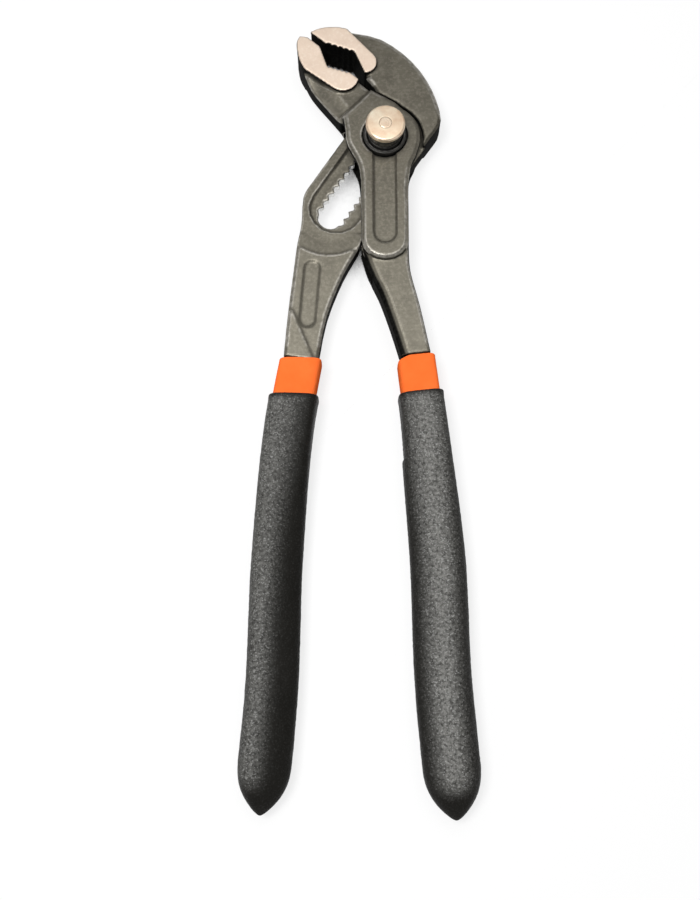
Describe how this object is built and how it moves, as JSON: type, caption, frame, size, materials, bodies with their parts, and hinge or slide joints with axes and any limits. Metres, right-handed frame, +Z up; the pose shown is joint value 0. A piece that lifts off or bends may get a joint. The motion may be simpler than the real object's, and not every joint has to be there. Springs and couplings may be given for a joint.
{
  "type": "water-pump pliers",
  "caption": "Adjustable water-pump pliers with a box joint: a toothed-slot lever shifts past a sprung push-button pin to set the jaw width, and dipped grips cover both handles.",
  "frame": {"origin": "middle of the bounding box, on the surface that the pliers lie on", "axes": "+Y from the handles to the jaws, +Z up through the push button, +X to the right seen from above"},
  "size_m": [0.0688, 0.2498, 0.0204],
  "materials": {
    "blacked_steel": "blackened and brushed, satin",
    "black_steel": "black, semi-gloss",
    "turned_steel": "turned bright, warm",
    "spring_steel": "drawn wire, plain",
    "orange_coat": "smooth dipped vinyl, satin",
    "black_coat": "fine leather-like grain, dull"
  },
  "bodies": {
    "box": {"box_lever": "blacked_steel", "guide_collar": "black_steel", "right_grip_liner": "orange_coat", "right_grip_sleeve": "black_coat"},
    "spring_seat": {"thrust_washer": "spring_steel", "button_spring": "spring_steel"},
    "slotted": {"slotted_lever": "blacked_steel", "left_grip_liner": "orange_coat", "left_grip_sleeve": "black_coat"},
    "button": {"push_button": "turned_steel", "button_stem": "black_steel", "joint_pin": "black_steel"}
  },
  "joints": [
    {"name": "handle_pivot", "type": "hinge", "parent": "box", "child": "spring_seat", "pos_m": [0.00859, 0.08491, 0.0065], "axis": [0, 0, 1], "range_deg": [-28, 2.2]},
    {"name": "jaw_adjust", "type": "slide", "parent": "spring_seat", "child": "slotted", "axis": [0.5476, 0.8368, 0], "range_m": [0, 0.024]},
    {"name": "button_press", "type": "slide", "parent": "spring_seat", "child": "button", "axis": [0, 0, -1], "range_m": [0, 0.0026], "stiffness_N_per_m": 800, "springref_m": -0.004, "deforming": ["button_spring"]}
  ]
}
